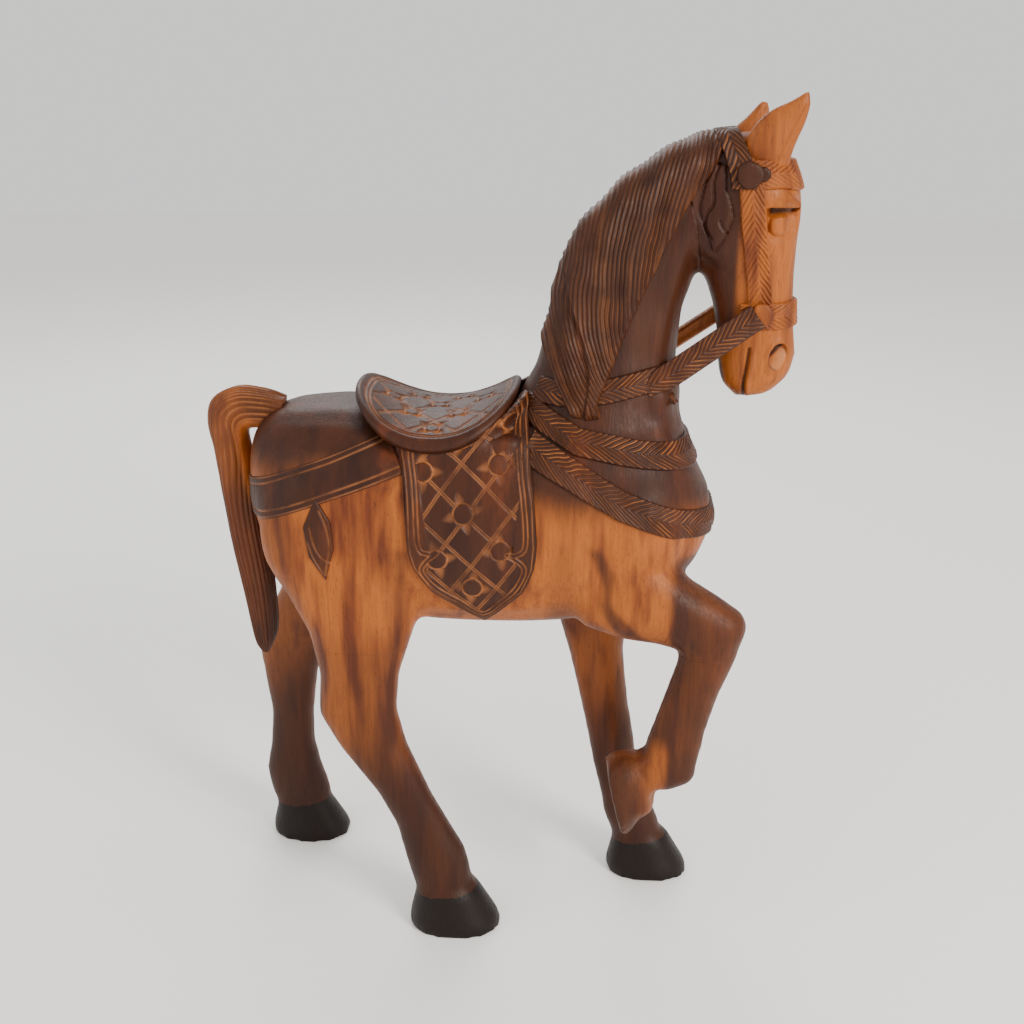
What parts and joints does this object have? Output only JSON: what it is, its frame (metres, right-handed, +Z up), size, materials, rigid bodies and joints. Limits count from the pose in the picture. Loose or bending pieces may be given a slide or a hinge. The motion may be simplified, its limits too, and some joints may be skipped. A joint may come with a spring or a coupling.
{
  "type": "carved wooden horse",
  "caption": "Large carved wooden horse in saddle and plaited harness, walking with one foreleg raised and folded back.",
  "frame": {"origin": "on the ground, below the middle of the horse's box", "axes": "+Z up, +X the way the horse faces, +Y to the horse's left"},
  "size_m": [0.5555, 0.2294, 0.8],
  "materials": {
    "body_wood": "dark and golden heartwood, waxed to a satin gloss",
    "gold_wood": "golden sapwood, waxed to a satin gloss",
    "tail_wood": "golden sapwood with carved hair, waxed",
    "saddle_wood": "dark stained, carved, waxed, pale where the carving is worn",
    "mane_wood": "dark stained, grooved, waxed",
    "strap_wood": "dark stained, cut in a plait pattern, waxed",
    "rein_wood": "plain planed strip, waxed",
    "dowel_wood": "plain unfinished hardwood"
  },
  "bodies": {
    "root": {"torso": "body_wood", "neck": "body_wood", "head": "gold_wood", "right_ear": "gold_wood", "left_ear": "gold_wood", "right_forearm": "body_wood", "right_fore_shin": "body_wood", "left_fore_leg": "gold_wood", "right_hind_leg": "body_wood", "left_hind_leg": "body_wood", "tail": "tail_wood", "saddle_seat": "saddle_wood", "right_saddle_flap": "saddle_wood", "left_saddle_flap": "saddle_wood", "mane": "mane_wood", "crown_strap": "strap_wood", "browband": "strap_wood", "noseband": "strap_wood", "right_cheek_strap": "strap_wood", "left_cheek_strap": "strap_wood", "brow_rosettes": "strap_wood", "bit_rosettes": "strap_wood", "right_rein": "strap_wood", "left_rein": "rein_wood", "right_neck_rein": "strap_wood", "left_neck_rein": "strap_wood", "upper_breast_strap": "strap_wood", "lower_breast_strap": "strap_wood", "breast_boss": "strap_wood", "breeching_band": "strap_wood", "haunch_leaves": "strap_wood", "neck_dowels": "dowel_wood", "head_dowels": "dowel_wood", "right_forearm_dowels": "dowel_wood", "knee_dowel": "dowel_wood", "left_fore_dowels": "dowel_wood", "right_hind_dowels": "dowel_wood", "left_hind_dowels": "dowel_wood", "tail_peg": "dowel_wood", "ear_pegs": "dowel_wood"}
  },
  "joints": []
}
